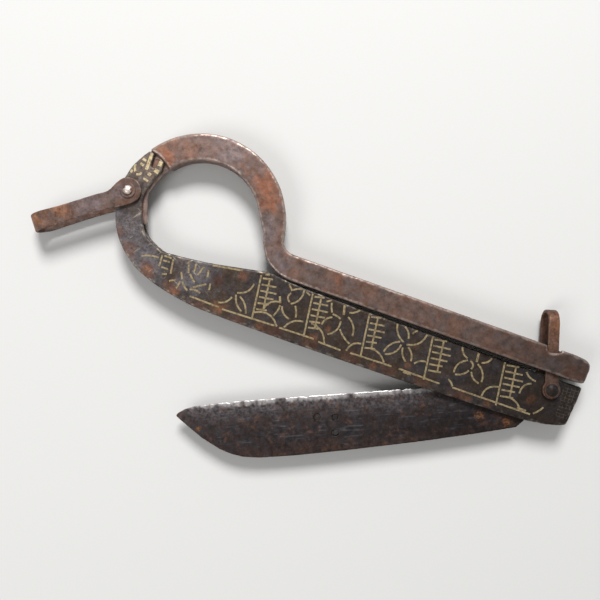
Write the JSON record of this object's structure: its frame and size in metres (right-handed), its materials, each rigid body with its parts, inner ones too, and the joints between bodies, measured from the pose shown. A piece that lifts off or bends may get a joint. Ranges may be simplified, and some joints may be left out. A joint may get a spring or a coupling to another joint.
{
  "type": "folding betel nut cutter",
  "caption": "Folding iron betel nut cutter: ringed lever bar, inlaid two-cheek case, pivoting knife blade, locking bail and carrying bail.",
  "frame": {"origin": "centre of the whole part's box in plan, on the plane that its back lies on", "axes": "+X along the case from the hinge end to the blade pin end, +Y from the case towards the lever bar, +Z out of the inlaid front"},
  "size_m": [0.2324, 0.1196, 0.014],
  "materials": {
    "case_iron": "dark brown patinated iron, rubbed smooth",
    "bar_iron": "red-brown rusted forged iron",
    "inner_iron": "rusted iron",
    "rusty_iron": "orange-brown rust, rubbed bright in places",
    "worn_pin": "rubbed iron with a bright top",
    "blade_steel": "dark steel with rust spots and a bright ground edge",
    "brass_wire": "dull brass wire, worn flush",
    "pale_brass": "pale brass and silver, rubbed bright"
  },
  "bodies": {
    "case": {"front_cheek": "case_iron", "back_cheek": "case_iron", "limb_spacer": "inner_iron", "spacer_rivets": "case_iron", "hinge_pin": "worn_pin", "hinge_washers": "rusty_iron", "blade_pin": "worn_pin", "blade_washers": "rusty_iron", "front_ladders": "brass_wire", "front_flowers": "brass_wire", "front_arches": "brass_wire", "front_border": "brass_wire", "front_scrolls": "brass_wire", "front_finial_plates": "pale_brass", "back_ladders": "brass_wire", "back_flowers": "brass_wire", "back_arches": "brass_wire", "back_border": "brass_wire", "back_scrolls": "brass_wire", "back_finial_plates": "pale_brass"},
    "lever": {"lever_bar": "bar_iron"},
    "knife": {"blade": "blade_steel", "blade_plug": "inner_iron"},
    "lock": {"locking_bail": "rusty_iron"},
    "carrier": {"carrying_bail": "rusty_iron"}
  },
  "joints": [
    {"name": "lever_hinge", "type": "hinge", "parent": "case", "child": "lever", "pos_m": [-0.08132, 0.02632, 0.007], "axis": [0, 0, 1], "range_deg": [0, 60]},
    {"name": "blade_pivot", "type": "hinge", "parent": "case", "child": "knife", "pos_m": [0.10428, 0.00792, 0.007], "axis": [0, 0, 1], "range_deg": [-23.7, 120]},
    {"name": "locking_bail_swing", "type": "hinge", "parent": "case", "child": "lock", "pos_m": [0.10428, 0.00792, 0.007], "axis": [0, 0, 1], "range_deg": [-90, 0]},
    {"name": "carrying_bail_swing", "type": "hinge", "parent": "case", "child": "carrier", "pos_m": [-0.08132, 0.02632, 0.007], "axis": [0, 0, 1], "range_deg": [-60, 78]}
  ],
  "couplings": [
    {"joint": "locking_bail_swing", "follows": "lever_hinge", "ratio": -1.5}
  ]
}
